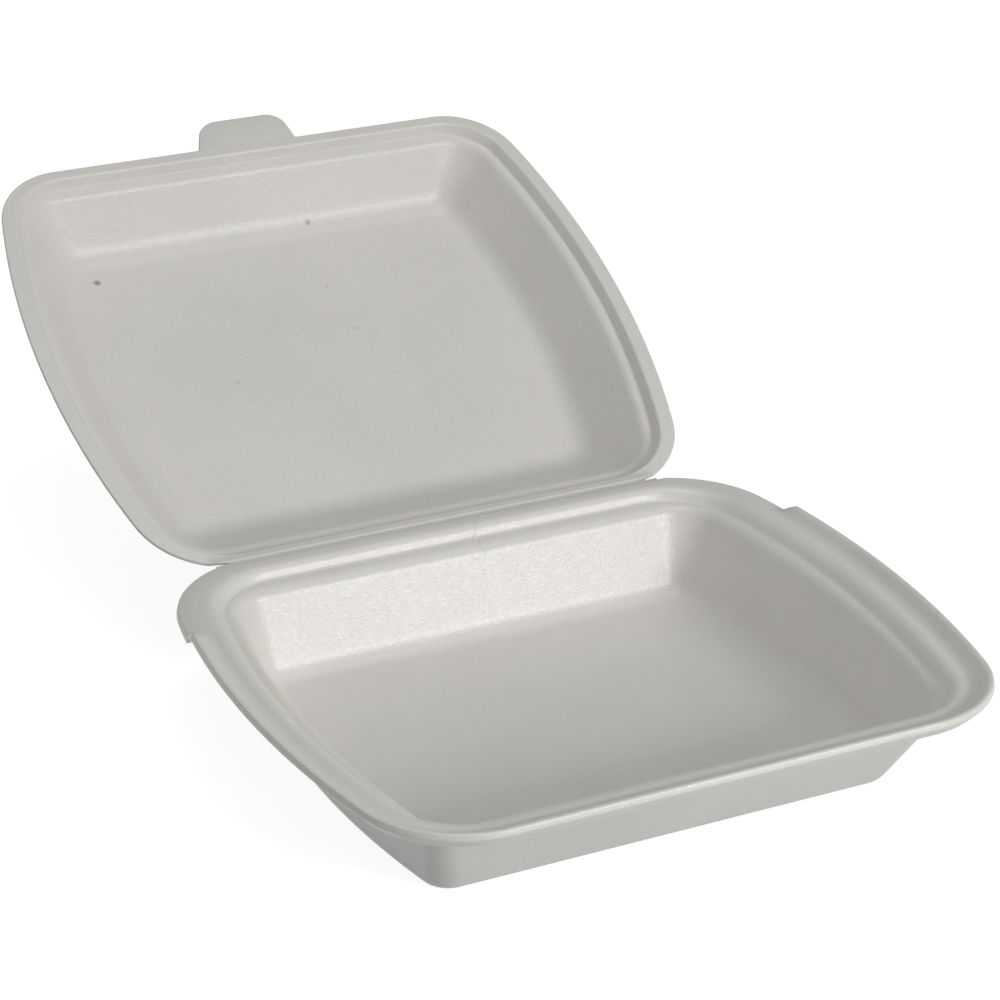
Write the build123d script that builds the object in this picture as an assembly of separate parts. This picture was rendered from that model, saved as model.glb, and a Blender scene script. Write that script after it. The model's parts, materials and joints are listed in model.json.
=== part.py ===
"""Hinged foam meal box: a tray and a lid pressed in one foam sheet, standing open."""

import os
from math import cos, hypot, radians, sin

from build123d import *

# Foam thickness of the tray and of the lid, and the fold between them
tray_sheet = 2.9
lid_sheet = 1.5
hinge_gap = 0.6
hinge_inset = 31.6
crease_drop = 0.15
crease_width = 6.5
strip_gap = 0.5
lid_raise = 26.0

# Tray rim: plan size, corners and the bow of the two sides
tray_width = 239.2
tray_length = 209.0
tray_overhang = 1.45
tray_back_radius = 40.4
tray_front_radius = 37.5
tray_back_bow = 10.6
tray_front_bow = 11.9

# Tray rim section, heights from the fold line and insets from the rim edge
lip_height = 5.1
lip_edge = 2.0
lip_top_inset = 1.2
lip_foot_inset = 5.4
lip_foot_height = 1.3
low_rim_height = 0.9
crest_inset = 12.0
crest_height = 2.1
tray_tread_inset = 16.6
tray_tread_height = -2.0
tray_tread_width = 3.7
shoulder_back_radius = 20.1
shoulder_front_radius = 8.0
lip_start = 44.5
lip_ramp = 6.0

# Tray body: depth, and how far each wall runs inwards on its way down
tray_depth = 34.5
tray_back_run = 6.65
tray_front_run = 19.25
tray_side_run = 11.3
floor_back_radius = 10.0
floor_front_radius = 7.2

# Gaps that let the lid's rim settle inside the tray's lip
lid_side_gap = 3.6
lid_front_gap = 6.9
lid_seat_gap = 0.7

# Lid rim: set back from the fold, corners and bow
lid_setback = 1.65
lid_back_radius = 33.0
lid_front_radius = 28.0
lid_back_bow = 13.3
lid_front_bow = 13.6

# Lid rim section
lid_riser_inset = 4.4
lid_tread_inset = 6.5
lid_tread_height = -9.2
lid_tread_width = 4.0
lid_front_riser = 2.6
lid_front_shoulder = 0.8

# Lid body
lid_depth = 29.5
lid_back_run = 23.85
lid_front_run = 12.85
lid_side_run = 21.0
panel_radius = 10.0

# Closing tab on the lid's front edge, leaning a little to one side
tab_root = 40.5
tab_tip = 31.0
tab_length = 14.8
tab_lean = 1.6
tab_corner = 6.0
tab_drop = 0.2

# Roundings of floor and panel inside, and the eased corners outside and along the rims
floor_round = 6.5
panel_round = 12.0
underside_cut = 3.0
panel_cut = 4.6
shoulder_cut = 1.6
tread_cut = 0.9
crest_cut = 1.6
foot_cut = 1.0
nose_cut = 0.8
lid_edge_cut = 0.45

# Fall of a tread across its width, and how level an edge must lie to be rounded
tread_fall = 0.2
level_tolerance = 0.01

# Sizes that follow
hinge_length = tray_width - 2 * hinge_inset
lid_width = tray_width - 2 * lid_side_gap
lid_length = tray_length - tray_overhang - lid_setback - lid_front_gap
lid_rim_height = -crest_height - lid_seat_gap
reach = tray_width + tray_length


def outline(plan, height):
    """Level outline: straight back and front, rounded corners, sides bowed out by two angles."""
    half_width, back, front, back_radius, front_radius, back_bow, front_bow = plan
    turn_in = radians(90 - back_bow)
    turn_out = radians(90 + front_bow)
    corner_run = back_radius * (1 - cos(turn_in)) + front_radius * (1 + cos(turn_out))
    side_radius = (front - back - corner_run) / (cos(turn_in) - cos(turn_out))
    arcs = [
        (back_radius, 0, turn_in),
        (side_radius, turn_in, turn_out),
        (front_radius, turn_out, radians(180)),
    ]
    x = half_width - back_radius * sin(turn_in) - side_radius * (1 - sin(turn_in))
    y = back
    right = []
    for radius, start, stop in arcs:
        points = []
        for turn in (start, (start + stop) / 2, stop):
            points.append((x + radius * (sin(turn) - sin(start)), y + radius * (cos(start) - cos(turn))))
        right.append(points)
        x, y = points[2]
    edges = [Line((-right[0][0][0], -back), (right[0][0][0], -back))]
    for points in right:
        edges.append(ThreePointArc(*[(px, -py) for px, py in points]))
    edges.append(Line((x, -front), (-x, -front)))
    for points in reversed(right):
        edges.append(ThreePointArc(*[(-px, -py) for px, py in reversed(points)]))
    return Pos(0, 0, height) * make_face(edges)


def tray_plan(inset):
    """Plan parallel to the tray's rim edge; distances to back and front count from the fold."""
    return (
        tray_width / 2 - inset,
        inset - tray_overhang,
        tray_length - tray_overhang - inset,
        tray_back_radius - inset,
        tray_front_radius - inset,
        tray_back_bow,
        tray_front_bow,
    )


def lid_plan(inset):
    """Plan parallel to the lid's rim edge."""
    return (
        lid_width / 2 - inset,
        lid_setback + inset,
        lid_setback + lid_length - inset,
        lid_back_radius - inset,
        lid_front_radius - inset,
        lid_back_bow,
        lid_front_bow,
    )


def drawn_in(plan, back_run, side_run, front_run, back_radius, front_radius):
    """Plan at the foot of walls that run inwards from another plan."""
    half_width, back, front, _, _, back_bow, front_bow = plan
    return (
        half_width - side_run,
        back + back_run,
        front - front_run,
        back_radius,
        front_radius,
        back_bow,
        front_bow,
    )


def grown(plan, back_out, side_out, front_out):
    """Plan of the outside of a wall whose inside has the given plan."""
    half_width, back, front, back_radius, front_radius, back_bow, front_bow = plan
    return (
        half_width + side_out,
        back - back_out,
        front + front_out,
        back_radius + side_out,
        front_radius + side_out,
        back_bow,
        front_bow,
    )


def spread(run, rise, sheet):
    """How far the outside of a sloped wall stands out from its inside, one sheet lower."""
    slope = run / rise
    return sheet * (hypot(1, slope) - slope)


def stack(levels):
    """Solid through levels of plan, height and cut; a cut eases the corner by that length."""
    faces = []
    for index, (plan, height, cut) in enumerate(levels):
        if cut == 0:
            faces.append(outline(plan, height))
            continue
        before = (drawn_in(plan, cut, cut, cut, plan[3], plan[4]), height, 0)
        if index > 0:
            before = levels[index - 1]
        for other_plan, other_height, _ in (before, levels[index + 1]):
            share = cut / hypot(other_plan[0] - plan[0], other_height - height)
            mixed = [a + (b - a) * share for a, b in zip(plan, other_plan)]
            faces.append(outline(mixed, height + (other_height - height) * share))
    return loft(faces, ruled=True)


def rounded(solid, height, radius):
    """Rounds the edges that lie flat at one height."""
    found = []
    for edge in solid.edges():
        box = edge.bounding_box()
        if abs(box.min.Z - height) < level_tolerance and abs(box.max.Z - height) < level_tolerance:
            found.append(edge)
    return fillet(found, radius)


def slab(v_from, v_to, z_from, z_to):
    """Block across the whole box between two distances from the fold and two heights."""
    size = Box(reach, v_to - v_from, z_to - z_from)
    return Pos(0, -(v_from + v_to) / 2, (z_from + z_to) / 2) * size


def wedge(x_size, corners):
    """Prism along the fold line from corners given as distance and height."""
    points = [(-v, z) for v, z in corners]
    face = make_face(Polyline(*points, close=True))
    return extrude(Plane.YZ * face, x_size / 2, both=True)


# Tray: inside form of the pressed sheet
shoulder_height = tray_tread_height - tread_fall
wall_drop = tray_depth + shoulder_height
tray_shoulder = drawn_in(
    tray_plan(tray_tread_inset),
    tray_tread_width,
    tray_tread_width,
    tray_tread_width,
    shoulder_back_radius,
    shoulder_front_radius,
)
tray_floor = drawn_in(
    tray_shoulder,
    tray_back_run,
    tray_side_run,
    tray_front_run,
    floor_back_radius,
    floor_front_radius,
)
tray_inside = stack(
    [
        (tray_floor, -tray_depth, 0),
        (tray_shoulder, shoulder_height, shoulder_cut),
        (tray_plan(tray_tread_inset), tray_tread_height, tread_cut),
        (tray_plan(crest_inset), crest_height, crest_cut),
        (tray_plan(lip_foot_inset), lip_foot_height, foot_cut),
        (tray_plan(lip_top_inset), lip_height, 0),
    ]
)
tray_inside = rounded(tray_inside, -tray_depth, floor_round)

# Tray: outside form, one sheet away from the inside
back_out = spread(tray_back_run, wall_drop, tray_sheet)
side_out = spread(tray_side_run, wall_drop, tray_sheet)
front_out = spread(tray_front_run, wall_drop, tray_sheet)
riser_out = spread(tray_tread_inset - crest_inset, crest_height - tray_tread_height, tray_sheet)
lip_out = spread(lip_foot_inset - lip_top_inset, lip_height - lip_foot_height, tray_sheet)
tray_under = grown(tray_floor, back_out, side_out, front_out)
tray_outside = stack(
    [
        (tray_under, -tray_depth - tray_sheet, underside_cut),
        (grown(tray_shoulder, back_out, side_out, front_out), shoulder_height - tray_sheet, 0),
        (tray_plan(tray_tread_inset - riser_out), tray_tread_height - tray_sheet, 0),
        (tray_plan(crest_inset - riser_out), crest_height - tray_sheet, 0),
        (tray_plan(lip_foot_inset - lip_out), lip_foot_height - tray_sheet, 0),
        (tray_plan(0), lip_height - lip_edge, 0),
        (tray_plan(0), lip_height - nose_cut, 0),
        (tray_plan(nose_cut), lip_height, 0),
    ]
)

# Tray: along the back the rim falls to the fold instead of rising to the lip
low_bottom = low_rim_height - tray_sheet
low_top = stack(
    [
        (tray_plan(0), low_bottom, 0),
        (tray_plan(0), low_rim_height - nose_cut, 0),
        (tray_plan(nose_cut), low_rim_height, 0),
        (tray_plan(crest_inset), crest_height, 0),
    ]
)
low_under = stack(
    [
        (tray_plan(0), low_bottom, 0),
        (tray_plan(crest_inset - riser_out), crest_height - tray_sheet, 0),
    ]
)

# Tray: a short ramp at each side leads from the low rim up to the lip
lip_full = lip_start + lip_ramp
behind_lip = slab(-reach, lip_start, low_bottom, reach)
ramp_zone = slab(lip_start, lip_full, -reach, reach)
above_ramp = wedge(
    reach,
    [(lip_start, low_rim_height), (lip_full, lip_height), (lip_full, reach), (lip_start, reach)],
)
under_ramp = wedge(
    reach,
    [
        (lip_start + tray_sheet, low_bottom),
        (lip_full + tray_sheet, lip_height - lip_edge),
        (lip_full + tray_sheet, -reach),
        (lip_start + tray_sheet, -reach),
    ],
)
rim_zone = extrude(outline(tray_plan(0), 0), reach, both=True)
rim_zone -= extrude(outline(tray_plan(crest_inset), 0), reach, both=True)
low_rim = (low_top - low_under) & behind_lip
ramp_block = extrude(outline(tray_plan(0), low_bottom), lip_height - low_bottom)
ramp_block = (ramp_block & rim_zone & ramp_zone) - low_under
tray = tray_outside + low_rim + ramp_block
tray = tray - tray_inside - ((behind_lip + above_ramp) - low_top)
tray = tray - ((under_ramp & rim_zone) - tray_outside)

# Tray: the sheet is pressed down to the fold line and ends just short of it
tray = tray - slab(-reach, hinge_gap / 2, -reach, reach)
crease = [
    (0, -crease_drop),
    (hinge_gap / 2, -crease_drop),
    (crease_width, low_rim_height),
    (crease_width, crest_height),
    (0, crest_height),
]
tray = tray - wedge(hinge_length, crease)

# Lid, lying flat with its inside up and its front away from the fold
lid_shoulder_height = lid_tread_height - tread_fall
lid_wall_drop = lid_depth + lid_shoulder_height
lid_tread = grown(lid_plan(lid_tread_inset), 0, 0, -lid_front_riser)
lid_shoulder = grown(lid_plan(lid_tread_inset + lid_tread_width), 0, 0, -lid_front_shoulder)
panel = drawn_in(
    lid_shoulder,
    lid_back_run,
    lid_side_run,
    lid_front_run,
    panel_radius,
    panel_radius,
)
lid_inside = stack(
    [
        (panel, -lid_depth, 0),
        (lid_shoulder, lid_shoulder_height, shoulder_cut),
        (lid_tread, lid_tread_height, tread_cut),
        (lid_plan(lid_riser_inset), lid_rim_height, 0),
    ]
)
lid_inside = rounded(lid_inside, -lid_depth, panel_round)
lid_back_out = spread(lid_back_run, lid_wall_drop, lid_sheet)
lid_side_out = spread(lid_side_run, lid_wall_drop, lid_sheet)
lid_front_out = spread(lid_front_run, lid_wall_drop, lid_sheet)
lid_riser_out = spread(lid_tread_inset - lid_riser_inset, lid_rim_height - lid_tread_height, lid_sheet)
lid_outside = stack(
    [
        (grown(panel, lid_back_out, lid_side_out, lid_front_out), -lid_depth - lid_sheet, panel_cut),
        (
            grown(lid_shoulder, lid_back_out, lid_side_out, lid_front_out),
            lid_shoulder_height - lid_sheet,
            0,
        ),
        (grown(lid_tread, lid_riser_out, lid_riser_out, lid_riser_out), lid_tread_height - lid_sheet, 0),
        (lid_plan(lid_riser_inset - lid_riser_out), lid_rim_height - lid_sheet, 0),
    ]
)
lid_flange = stack(
    [
        (lid_plan(lid_edge_cut), lid_rim_height - lid_sheet, 0),
        (lid_plan(0), lid_rim_height - lid_sheet + lid_edge_cut, 0),
        (lid_plan(0), lid_rim_height - lid_edge_cut, 0),
        (lid_plan(lid_edge_cut), lid_rim_height, 0),
    ]
)
lid = lid_outside + lid_flange

# Lid: closing tab in the middle of the front edge
lid_front = lid_setback + lid_length
tab_points = [
    (-tab_root / 2, -lid_front),
    (-tab_lean - tab_tip / 2, -lid_front - tab_length),
    (-tab_lean + tab_tip / 2, -lid_front - tab_length),
    (tab_root / 2, -lid_front),
    (tab_root / 2, -lid_front + lid_riser_inset / 2),
    (-tab_root / 2, -lid_front + lid_riser_inset / 2),
]
tab_face = make_face(Polyline(*tab_points, close=True))
tab_ends = tab_face.vertices().sort_by(Axis.Y)[:2]
tab_face = fillet(tab_ends, tab_corner)
lid = lid + extrude(Pos(0, 0, lid_rim_height - tab_drop) * tab_face, -lid_sheet)

# Lid: strip that leads from the fold down to the rim
strip = [
    (hinge_gap / 2, -crease_drop),
    (lid_setback + lid_riser_inset, lid_rim_height),
    (lid_setback + lid_riser_inset, lid_rim_height - lid_sheet / 2),
    (lid_setback, lid_rim_height - lid_sheet / 2),
    (hinge_gap / 2, -crease_drop - lid_sheet / 2),
]
lid = lid + wedge(hinge_length - 2 * strip_gap, strip) - lid_inside

# Placing: the tray stands on its floor, the lid leans back open about the fold
fold = Pos(0, (tray_under[1] + tray_under[2]) / 2, tray_depth + tray_sheet)
os.makedirs("parts", exist_ok=True)
export_step(fold * tray, "parts/tray.step")
export_step(fold * Rot(X=lid_raise) * Rot(Z=180) * lid, "parts/lid.step")
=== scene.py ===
import json
import math

import bpy
import numpy as np
from mathutils import Matrix, Vector


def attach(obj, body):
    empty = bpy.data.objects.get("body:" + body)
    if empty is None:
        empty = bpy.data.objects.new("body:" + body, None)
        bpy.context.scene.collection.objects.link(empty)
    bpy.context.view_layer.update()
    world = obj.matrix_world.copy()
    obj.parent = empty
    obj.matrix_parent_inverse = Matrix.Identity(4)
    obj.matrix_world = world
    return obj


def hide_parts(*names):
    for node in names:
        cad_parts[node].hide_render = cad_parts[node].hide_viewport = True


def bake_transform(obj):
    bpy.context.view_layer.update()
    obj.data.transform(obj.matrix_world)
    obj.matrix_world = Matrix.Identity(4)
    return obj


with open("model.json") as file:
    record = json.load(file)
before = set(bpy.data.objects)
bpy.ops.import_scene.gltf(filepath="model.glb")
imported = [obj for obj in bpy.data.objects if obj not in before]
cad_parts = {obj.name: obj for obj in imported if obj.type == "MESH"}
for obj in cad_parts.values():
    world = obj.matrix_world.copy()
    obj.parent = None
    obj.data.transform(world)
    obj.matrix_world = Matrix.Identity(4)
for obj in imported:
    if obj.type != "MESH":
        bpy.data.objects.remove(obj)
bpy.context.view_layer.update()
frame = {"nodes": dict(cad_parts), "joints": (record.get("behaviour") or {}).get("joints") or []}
bpy.ops.object.select_all(action="DESELECT")


# Tray: the deep half of a pressed foam sheet. The mould gives it a flat floor, sloped walls, a narrow tread,
# a riser and a flange; round the sides and the front the flange turns up into a lip that holds the lid's rim,
# and along the back it falls to the fold. Sizes are in millimetres, counted from the fold line.
fold = Vector(frame["joints"][0]["pos_m"]) * 1000
tray_sheet = 2.9
tray_rim = (119.6, -1.45, 207.55, 40.4, 37.5, 10.6, 11.9)
tray_shoulder = (99.3, 18.85, 187.25, 16.0, 8.0, 10.6, 11.9)
tray_floor = (87.0, 29.9, 172.6, 6.0, 6.0, 10.6, 11.9)
tray_tread = (103.4, 12.75, 191.35, 26.2, 21.3, 10.6, 11.9)
tray_wall = tuple(0.8 * a + 0.2 * b for a, b in zip(tray_shoulder, tray_floor))
tray_foot = (90.06, 23.14, 169.65, 12.06, 9.26, 10.6, 11.9)
tray_depth, shoulder_drop, foot_drop = 32.0, 2.2, 37.4
lip_start, lip_full = 44.8, 50.4
tread_height, tread_inset = -2.0, 16.6
crest_height, crest_inset = 2.3, 12.6
crest_under_height, crest_under_inset = 2.1, 12.0
valley_inset, lip_foot_inset, lip_top_inset = 6.4, 2.3, 0.6
wall_out = (2.36, 2.06, 1.65)
hinge_half, crease_edge = 88.0, 0.9
kink_width, kink_depth = 0.42, 0.35


def inset(plan, by):
    """Plan drawn inwards; a plan is half width, back, front, two corner radii and two bow angles."""
    half, back, front, back_radius, front_radius, back_bow, front_bow = plan
    radii = max(back_radius - by, 0.5), max(front_radius - by, 0.5)
    return (half - by, back + by, front - by, *radii, back_bow, front_bow)


def walled(plan, back, side, front):
    """Plan of the outside of a wall, its back, sides and front moved out by their own amounts."""
    half, plan_back, plan_front, back_radius, front_radius, back_bow, front_bow = plan
    radii = back_radius + side, front_radius + side
    return (half + side, plan_back - back, plan_front + front, *radii, back_bow, front_bow)


def through(run, rise, sheet):
    """How far the outside of a sloped wall stands out from the inside, one sheet lower."""
    return sheet * (math.hypot(1, run / rise) - run / rise)


def soft_step(x, low, high):
    t = np.clip((x - low) / (high - low), 0, 1)
    return t * t * (3 - 2 * t)


def kink_at(v):
    """Where the small crease across the back rim runs, from side to side, at a distance from the fold."""
    return np.interp(v, [7.9, 13.7, 17.5, 19.4], [7.3, 6.5, 5.6, 6.6])


def ring(plan):
    """Points round a plan: straight back, corner, bowed side, corner and straight front, mirrored."""
    half, back, front, back_radius, front_radius, back_bow, front_bow = plan
    turn_in, turn_out = math.radians(90 - back_bow), math.radians(90 + front_bow)
    corners = back_radius * (1 - math.cos(turn_in)) + front_radius * (1 + math.cos(turn_out))
    side_radius = (front - back - corners) / (math.cos(turn_in) - math.cos(turn_out))
    x = half - back_radius * math.sin(turn_in) - side_radius * (1 - math.sin(turn_in))
    v = back
    near = soft_step(back, 4.0, 7.0) * soft_step(30.0 - back, 0, 5)
    steps = np.array([(1 + 0.4 * i) * x / 36 for i in range(1, 10)])
    steps += near * (kink_at(back) + np.arange(-4, 5) * kink_width / 2 - steps)
    right = [(px, back) for px in (0, x / 36, *steps, *[x * i / 36 for i in range(5, 36)])]
    for radius, start, stop, count in (
        (back_radius, 0.0, turn_in, 28),
        (side_radius, turn_in, turn_out, 44),
        (front_radius, turn_out, math.pi, 28),
    ):
        centre_x, centre_v = x - radius * math.sin(start), v + radius * math.cos(start)
        for turn in np.linspace(start, stop, count, endpoint=False):
            right.append((centre_x + radius * math.sin(turn), centre_v - radius * math.cos(turn)))
        x, v = centre_x + radius * math.sin(stop), centre_v - radius * math.cos(stop)
    right += [(x * (1 - i / 36), front) for i in range(37)]
    return np.array(right + [(-px, pv) for px, pv in right[-2:0:-1]])


def section(levels):
    """Rings through levels of plan, height and ease; an ease is the length that rounds a corner."""
    corners = [np.array([*plan, height]) for plan, height, _ in levels]
    eases = [ease for _, _, ease in levels]
    rings = []
    for i, here in enumerate(corners):
        if eases[i] == 0:
            rings.append(here)
            continue
        ends, guards = [], []
        for other in (i - 1, i + 1):
            leg = math.hypot(corners[other][0] - here[0], corners[other][7] - here[7])
            spare = max(leg - eases[i] - eases[other], 0) * 0.25
            ends.append(here + (corners[other] - here) * eases[i] / leg)
            guard = eases[i] + min(spare, 0.15 * eases[i] + 0.1)
            guards.append(here + (corners[other] - here) * guard / leg)
        rings.append(guards[0])
        for t in np.linspace(0, 1, 12 if eases[i] > 3 else 8):
            rings.append(ends[0] * (1 - t) ** 2 + here * 2 * t * (1 - t) + ends[1] * t**2)
        rings.append(guards[1])
    return rings


def skin(name, points):
    """Closed skin through rings of points in millimetres, capped flat at both ends."""
    count, around, _ = points.shape
    faces = [list(range(around)), list(range((count - 1) * around, count * around))]
    for r in range(count - 1):
        for s in range(around):
            n = (s + 1) % around
            faces.append([r * around + s, r * around + n, (r + 1) * around + n, (r + 1) * around + s])
    mesh = bpy.data.meshes.new(name)
    mesh.from_pydata((points.reshape(-1, 3) / 1000).tolist(), [], faces)
    piece = bpy.data.objects.new(name, mesh)
    bpy.context.scene.collection.objects.link(piece)
    bpy.context.view_layer.objects.active = piece
    piece.select_set(True)
    bpy.ops.object.mode_set(mode="EDIT")
    bpy.ops.mesh.select_all(action="SELECT")
    bpy.ops.mesh.normals_make_consistent(inside=False)
    bpy.ops.object.mode_set(mode="OBJECT")
    bpy.ops.object.shade_smooth()
    piece.select_set(False)
    return piece


riser_out = through(tread_inset - crest_under_inset, crest_under_height - tread_height, tray_sheet)


def tray_section(valley, lip_in, lip_top, lip_under, valley_under):
    return section(
        [
            (inset(tray_floor, 9.5), -tray_depth, 0),
            (tray_floor, -tray_depth, 6.0),
            (tray_wall, -0.8 * shoulder_drop - 0.2 * tray_depth, 0),
            (tray_shoulder, -shoulder_drop, 3.4),
            (tray_tread, tread_height, 0.9),
            (inset(tray_rim, crest_inset), crest_height, 3.2),
            (inset(tray_rim, valley_inset), valley, 2.6),
            (inset(tray_rim, lip_foot_inset), lip_in, 1.0),
            (inset(tray_rim, lip_top_inset), lip_top, 0.6),
            (tray_rim, lip_under, 0.7),
            (inset(tray_rim, 4.2), valley_under, 1.6),
            (inset(tray_rim, crest_under_inset - riser_out), crest_under_height - tray_sheet, 1.4),
            (inset(tray_rim, tread_inset - riser_out), tread_height - tray_sheet, 1.2),
            (walled(tray_shoulder, *wall_out), -shoulder_drop - tray_sheet, 1.2),
            (tray_foot, -foot_drop, 3.4),
            (inset(tray_foot, 5.0), -foot_drop, 0),
        ]
    )


lipped = tray_section(1.3, 5.1, 5.1, 3.0, -1.6)
low = tray_section(2.0, 1.3, 0.9, -2.0, -1.55)
rise = soft_step(ring(tray_rim)[:, 1], lip_start, lip_full)
tray_points = []
for lip_ring, low_ring in zip(lipped, low):
    flat = ring(tuple(lip_ring[:7])) * rise[:, None] + ring(tuple(low_ring[:7])) * (1 - rise[:, None])
    tray_points.append(np.c_[flat, lip_ring[7] * rise + low_ring[7] * (1 - rise)])
x, v, h = np.moveaxis(np.array(tray_points), -1, 0)
pressed = np.interp(v, [crease_edge, 2.6, 5.0, 10.5], [-0.45, 0.95, 1.9, 2.6])
in_fold = soft_step(hinge_half + 3 - np.abs(x), 0, 6)
h = np.where((v < 10.5) & (h > pressed), h + in_fold * 0.97 * (pressed - h), h)
edge = 0.3 + (crease_edge - 0.3) * in_fold
v = np.where(v < edge, edge + 0.03 * (v - edge), v)
beside = x - kink_at(v)
kink = np.exp(-((beside / kink_width) ** 2)) - 0.6 * np.exp(-(((beside + 0.7) / kink_width) ** 2))
h = h - kink_depth * kink * soft_step(v, 5.0, 9.0) * soft_step(h, -8.0, -3.0) * (v < 21)
tray = skin("tray_foam", np.stack([x, fold.y - v, fold.z + h], axis=-1))
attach(tray, "tray")
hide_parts("tray")


def foam(name, tone, gloss, specular, shift, flecks):
    """White pressed foam: satin skin over fine cells, uneven in tone, gloss and level, with flecks."""
    material = bpy.data.materials.new(name)
    material.use_nodes = True
    nodes, links = material.node_tree.nodes, material.node_tree.links
    shader = nodes["Principled BSDF"]
    shader.inputs["Specular IOR Level"].default_value = specular
    place = nodes.new("ShaderNodeTexCoord")
    moved = nodes.new("ShaderNodeMapping")
    moved.inputs["Location"].default_value = shift
    links.new(place.outputs["Object"], moved.inputs["Vector"])

    def noise(scale, detail, roughness):
        node = nodes.new("ShaderNodeTexNoise")
        node.inputs["Scale"].default_value = scale
        node.inputs["Detail"].default_value = detail
        node.inputs["Roughness"].default_value = roughness
        links.new(moved.outputs["Vector"], node.inputs["Vector"])
        return node

    def ramp(source, low, high, low_at, high_at):
        node = nodes.new("ShaderNodeValToRGB")
        node.color_ramp.elements[0].position, node.color_ramp.elements[0].color = low_at, (*low, 1)
        node.color_ramp.elements[1].position, node.color_ramp.elements[1].color = high_at, (*high, 1)
        links.new(source, node.inputs["Fac"])
        return node

    def mix(kind, factor, a, b):
        node = nodes.new("ShaderNodeMix")
        node.data_type, node.blend_type = "RGBA", kind
        if isinstance(factor, float):
            node.inputs["Factor"].default_value = factor
        else:
            links.new(factor, node.inputs["Factor"])
        links.new(a, node.inputs["A"])
        if isinstance(b, tuple):
            node.inputs["B"].default_value = (*b, 1)
        else:
            links.new(b, node.inputs["B"])
        return node.outputs["Result"]

    patches = noise(22.0, 3.0, 0.55)
    shade = ramp(patches.outputs["Fac"], tuple(c * 0.965 for c in tone), tone, 0.35, 0.65)
    cells = nodes.new("ShaderNodeTexVoronoi")
    cells.inputs["Scale"].default_value = 900.0
    links.new(moved.outputs["Vector"], cells.inputs["Vector"])
    cell_shade = ramp(cells.outputs["Distance"], (0.96, 0.96, 0.955), (1, 1, 1), 0.1, 0.75)
    colour = mix("MULTIPLY", 0.5, shade.outputs["Color"], cell_shade.outputs["Color"])

    ragged = noise(1100.0, 2.0, 0.5)
    offset = nodes.new("ShaderNodeVectorMath")
    offset.operation = "MULTIPLY_ADD"
    offset.inputs[1].default_value = (0.0011, 0.0011, 0.0011)
    links.new(ragged.outputs["Color"], offset.inputs[0])
    links.new(place.outputs["Object"], offset.inputs[2])
    for fleck_place, size, dark in flecks:
        reach = nodes.new("ShaderNodeVectorMath")
        reach.operation = "DISTANCE"
        reach.inputs[1].default_value = [c / 1000 + 0.00055 for c in fleck_place]
        links.new(offset.outputs["Vector"], reach.inputs[0])
        spot = nodes.new("ShaderNodeMapRange")
        spot.inputs["From Min"].default_value = size / 1000 * 0.5
        spot.inputs["From Max"].default_value = size / 1000 * 1.1
        spot.inputs["To Min"].default_value = dark
        spot.inputs["To Max"].default_value = 0.0
        links.new(reach.outputs["Value"], spot.inputs["Value"])
        colour = mix("MIX", spot.outputs["Result"], colour, (0.13, 0.12, 0.105))
    links.new(colour, shader.inputs["Base Color"])

    sheen = noise(520.0, 4.0, 0.7)
    satin = ramp(sheen.outputs["Fac"], (gloss[0],) * 3, (gloss[1],) * 3, 0.3, 0.7)
    links.new(satin.outputs["Color"], shader.inputs["Roughness"])

    waves = noise(40.0, 2.0, 0.5)
    wave_bump = nodes.new("ShaderNodeBump")
    wave_bump.inputs["Strength"].default_value = 0.2
    wave_bump.inputs["Distance"].default_value = 0.0005
    links.new(waves.outputs["Fac"], wave_bump.inputs["Height"])
    grain = noise(1000.0, 4.0, 0.6)
    grain_bump = nodes.new("ShaderNodeBump")
    grain_bump.inputs["Strength"].default_value = 0.7
    grain_bump.inputs["Distance"].default_value = 0.00025
    links.new(grain.outputs["Fac"], grain_bump.inputs["Height"])
    links.new(wave_bump.outputs["Normal"], grain_bump.inputs["Normal"])
    links.new(grain_bump.outputs["Normal"], shader.inputs["Normal"])
    return material


tray_flecks = [((53.0, -15.4, 5.4), 1.0, 0.14)]
tray_foam = foam("tray_foam", (0.80, 0.785, 0.755), (0.31, 0.44), 1.0, (0.0, 0.0, 0.0), tray_flecks)
tray.data.materials.append(tray_foam)
frame["nodes"]["tray"].data.materials.clear()
frame["nodes"]["tray"].data.materials.append(tray_foam)


# Lid: the shallower half of the same sheet, with its own tread and riser and a flat flange that settles
# inside the tray's lip. It leans back, open, and its panel is plain.
lid_sheet = 1.5
lean = math.radians(26)
lid_rim = (116.0, 1.65, 200.65, 33.0, 28.0, 13.3, 13.6)
lid_panel = (88.0, 36.0, 176.5, 7.0, 7.0, 13.3, 13.6)
lid_depth = 29.5
lid_step = (110.2, 6.05, 196.25, 28.6, 23.6, 13.3, 13.6)
lid_tread = (108.2, 8.15, 194.4, 26.5, 21.5, 13.3, 13.6)
lid_shoulder = (105.2, 12.15, 190.8, 20.0, 15.0, 13.3, 13.6)
rim_height, lid_tread_height, lid_shoulder_height = -2.8, -7.0, -7.2
lid_runs = (
    lid_panel[1] - lid_shoulder[1],
    lid_shoulder[0] - lid_panel[0],
    lid_shoulder[2] - lid_panel[2],
)
lid_out = [through(run, lid_depth + lid_shoulder_height, lid_sheet) for run in lid_runs]
lid_riser_out = through(lid_step[0] - lid_tread[0], rim_height - lid_tread_height, lid_sheet)
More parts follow.
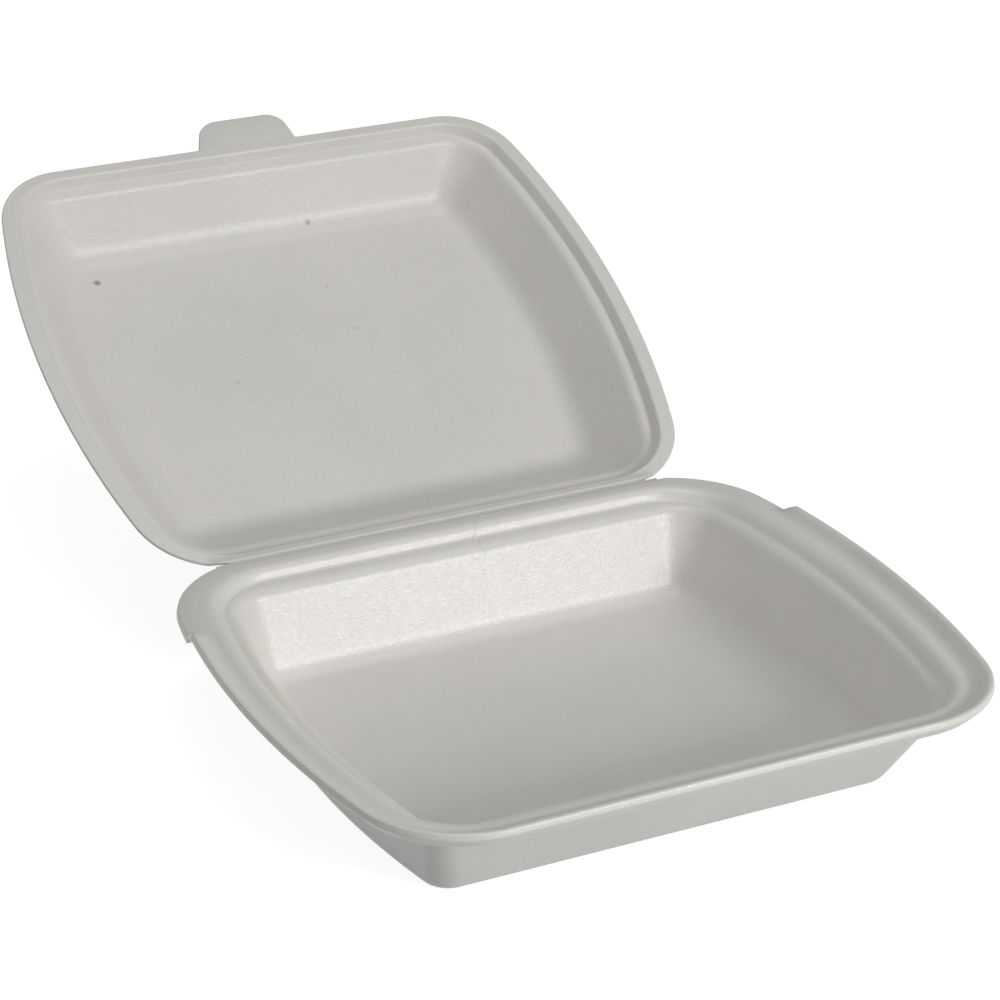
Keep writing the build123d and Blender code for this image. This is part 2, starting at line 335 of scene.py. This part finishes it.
lid_levels = section(
    [
        (inset(lid_panel, 9.5), -lid_depth, 0),
        (lid_panel, -lid_depth, 7.0),
        (lid_shoulder, lid_shoulder_height, 2.3),
        (lid_tread, lid_tread_height, 0.4),
        (lid_step, rim_height, 0.9),
        (inset(lid_rim, 1.3), rim_height, 0.5),
        (lid_rim, rim_height, 0.6),
        (lid_rim, rim_height - lid_sheet, 0.6),
        (walled(lid_step, *[lid_riser_out] * 3), rim_height - lid_sheet, 0.8),
        (walled(lid_tread, *[lid_riser_out] * 3), lid_tread_height - lid_sheet, 0.9),
        (walled(lid_shoulder, *lid_out), lid_shoulder_height - lid_sheet, 1.2),
        (walled(lid_panel, *lid_out), -lid_depth - lid_sheet, 5.4),
        (inset(walled(lid_panel, *lid_out), 7.5), -lid_depth - lid_sheet, 0),
    ]
)
lid_points = [np.c_[ring(tuple(r[:7])), np.full(len(rise), r[7])] for r in lid_levels]
x, v, h = np.moveaxis(np.array(lid_points), -1, 0)
in_fold = soft_step(hinge_half - np.abs(x), 0, 3) * (h > -8)
upper = np.interp(v, [1.65, 2.95, 6.05], [1.4, 1.75, 0.0])
lower = np.interp(v, [1.65, 6.05], [2.1, 0.0])
h = h + in_fold * np.where(h > rim_height - lid_sheet / 2, upper, lower)
v = v + in_fold * np.interp(v, [1.65, 2.95, 6.05], [-0.7, -0.4, 0.0])


def leaning(x, v, h):
    """Places of the open lid from distances across, from the fold and up from the rim's plane."""
    return np.stack(
        [
            x,
            fold.y + v * math.cos(lean) - h * math.sin(lean),
            fold.z + v * math.sin(lean) + h * math.cos(lean),
        ],
        axis=-1,
    )


lid = skin("lid_foam", leaning(x, v, h))
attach(lid, "lid")
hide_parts("lid")
lid_flecks = [
    ((-71.2, 257.4, 83.1), 1.6, 0.7),
    ((20.7, 267.2, 90.4), 1.4, 0.45),
    ((19.75, 217.6, 63.7), 1.0, 0.2),
    ((-35.7, 203.0, 56.6), 1.0, 0.2),
    ((16.4, 238.9, 74.1), 0.9, 0.15),
    ((-79.3, 268.6, 101.3), 1.2, 0.2),
]
lid_foam = foam("lid_foam", (0.775, 0.76, 0.732), (0.33, 0.47), 0.85, (0.31, 0.17, 0.05), lid_flecks)
lid.data.materials.append(lid_foam)
frame["nodes"]["lid"].data.materials.clear()
frame["nodes"]["lid"].data.materials.append(lid_foam)


# Closing tab: a tongue of the lid's own sheet in the middle of its front edge, with rounded corners.
# It is cut and pressed together with the lid.
tab_mesh = bpy.data.meshes.new("lid_tab")
tab_height = -3.0
tab_corners = np.array(
    [(-20.25, 199.0), (-20.25, 200.65), (-14.6, 215.3), (18.6, 215.3), (20.6, 200.65), (20.6, 199.0)]
)
tab_points = leaning(tab_corners[:, 0], tab_corners[:, 1], np.full(6, tab_height)) / 1000
tab_mesh.from_pydata(tab_points.tolist(), [], [range(6)])
tab = bpy.data.objects.new("lid_tab", tab_mesh)
bpy.context.scene.collection.objects.link(tab)
bpy.context.view_layer.objects.active = tab
tab.select_set(True)
bpy.ops.object.mode_set(mode="EDIT")
bpy.ops.mesh.select_mode(type="VERT")
bpy.ops.mesh.select_all(action="DESELECT")
bpy.ops.object.mode_set(mode="OBJECT")
tab_mesh.vertices[2].select = True
tab_mesh.vertices[3].select = True
bpy.ops.object.mode_set(mode="EDIT")
bpy.ops.mesh.bevel(offset=0.0066, segments=12, affect="VERTICES")
bpy.ops.mesh.select_all(action="SELECT")
sheet_down = (0, lid_sheet / 1000 * math.sin(lean), -lid_sheet / 1000 * math.cos(lean))
bpy.ops.mesh.extrude_region_move(TRANSFORM_OT_translate={"value": sheet_down})
bpy.ops.mesh.select_all(action="SELECT")
bpy.ops.mesh.normals_make_consistent(inside=False)
bpy.ops.object.mode_set(mode="OBJECT")
soft = tab.modifiers.new("soft", "BEVEL")
soft.width, soft.segments, soft.limit_method = 0.0006, 3, "ANGLE"
bpy.ops.object.modifier_apply(modifier="soft")
bpy.ops.object.shade_smooth_by_angle(angle=math.radians(50))
tab.select_set(False)
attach(tab, "lid")
tab.data.materials.append(lid_foam)


# Fold: the thin web between tray and lid, where the mould has crushed the sheet flat so that it bends.
# A fine groove runs along each of its edges.
web_width, web_length = 1.7, 2 * hinge_half - 2.5
bpy.ops.mesh.primitive_grid_add(x_subdivisions=60, y_subdivisions=12, size=1)
web = bpy.context.active_object
web.name = "fold_web"
for vertex in web.data.vertices:
    across = vertex.co.y * web_width
    level = -0.4 - 0.55 * max(0, (abs(across) - 0.62) / (web_width / 2 - 0.62)) ** 2
    if across < 0:
        vertex.co = Vector((vertex.co.x * web_length, fold.y + across, fold.z + level)) / 1000
    else:
        vertex.co = Vector(leaning(vertex.co.x * web_length, across, level)) / 1000
thick = web.modifiers.new("thick", "SOLIDIFY")
thick.thickness, thick.offset = 0.0004, -1
bpy.ops.object.modifier_apply(modifier="thick")
bpy.ops.object.shade_smooth_by_angle(angle=math.radians(50))
web.select_set(False)
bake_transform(web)
web.data.materials.append(tray_foam)


# Studio: a pale floor, one soft key light low at the front right, a large soft light overhead and even light
# all round. The floor looks white to the camera and in the foam's sheen, and keeps the box's shadow.
bpy.ops.mesh.primitive_plane_add(size=12, location=(0, 0, -0.0002))
ground = bpy.context.active_object
ground.name = "floor"
floor_paint = bpy.data.materials.new("floor")
floor_paint.use_nodes = True
nodes, links = floor_paint.node_tree.nodes, floor_paint.node_tree.links
paint = nodes["Principled BSDF"]
paint.inputs["Base Color"].default_value = (0.34, 0.34, 0.34, 1)
paint.inputs["Roughness"].default_value = 0.95
glow = nodes.new("ShaderNodeEmission")
glow.inputs["Strength"].default_value = 0.88
lit = nodes.new("ShaderNodeAddShader")
links.new(paint.outputs["BSDF"], lit.inputs[0])
links.new(glow.outputs["Emission"], lit.inputs[1])
path = nodes.new("ShaderNodeLightPath")
seen = nodes.new("ShaderNodeMath")
seen.operation = "MAXIMUM"
links.new(path.outputs["Is Camera Ray"], seen.inputs[0])
links.new(path.outputs["Is Glossy Ray"], seen.inputs[1])
seen_through = nodes.new("ShaderNodeMath")
seen_through.operation = "MAXIMUM"
links.new(seen.outputs["Value"], seen_through.inputs[0])
links.new(path.outputs["Is Transmission Ray"], seen_through.inputs[1])
choice = nodes.new("ShaderNodeMixShader")
links.new(seen_through.outputs["Value"], choice.inputs["Fac"])
links.new(paint.outputs["BSDF"], choice.inputs[1])
links.new(lit.outputs["Shader"], choice.inputs[2])
links.new(choice.outputs["Shader"], nodes["Material Output"].inputs["Surface"])
ground.data.materials.append(floor_paint)

world = bpy.data.worlds.new("studio")
bpy.context.scene.world = world
world.use_nodes = True
world.node_tree.nodes["Background"].inputs["Color"].default_value = (1.0, 0.995, 0.985, 1)
world.node_tree.nodes["Background"].inputs["Strength"].default_value = 0.32


def soft_box(name, azimuth, elevation, distance, width, height, watts):
    """Rectangular lamp that looks at the box; azimuth counts from straight ahead to the right, in degrees."""
    lamp = bpy.data.lights.new(name, "AREA")
    lamp.shape, lamp.size, lamp.size_y, lamp.energy = "RECTANGLE", width, height, watts
    lamp.color = (1.0, 0.99, 0.97)
    stand = bpy.data.objects.new(name, lamp)
    bpy.context.scene.collection.objects.link(stand)
    side, up = math.radians(azimuth), math.radians(elevation)
    away = Vector((math.sin(side) * math.cos(up), -math.cos(side) * math.cos(up), math.sin(up))) * distance
    stand.location = Vector((0, 0.05, 0.03)) + away
    stand.rotation_euler = (math.radians(90) - up, 0, side)


soft_box("key", 20.5, 19, 1.5, 0.4, 0.34, 9.9)
soft_box("overhead", 0, 88, 1.5, 0.7, 0.7, 3.5)

camera_data = bpy.data.cameras.new("camera")
camera_data.sensor_width, camera_data.lens = 36.0, 114.18
camera_data.clip_start, camera_data.clip_end = 0.05, 50.0
camera = bpy.data.objects.new("camera", camera_data)
bpy.context.scene.collection.objects.link(camera)
azimuth, elevation, roll = 0.459632, 0.441302, 0.010018
level = math.cos(elevation)
ahead = Vector((math.sin(azimuth) * level, math.cos(azimuth) * level, -math.sin(elevation)))
across = Vector((math.cos(azimuth), -math.sin(azimuth), 0))
upward = across.cross(ahead)
turned = Matrix(
    (
        across * math.cos(roll) + upward * math.sin(roll),
        upward * math.cos(roll) - across * math.sin(roll),
        -ahead,
    )
).transposed()
camera.matrix_world = Matrix.Translation((-0.434952, -0.827285, 0.528309)) @ turned.to_4x4()
bpy.context.scene.camera = camera
bpy.context.scene.view_settings.view_transform = "Standard"
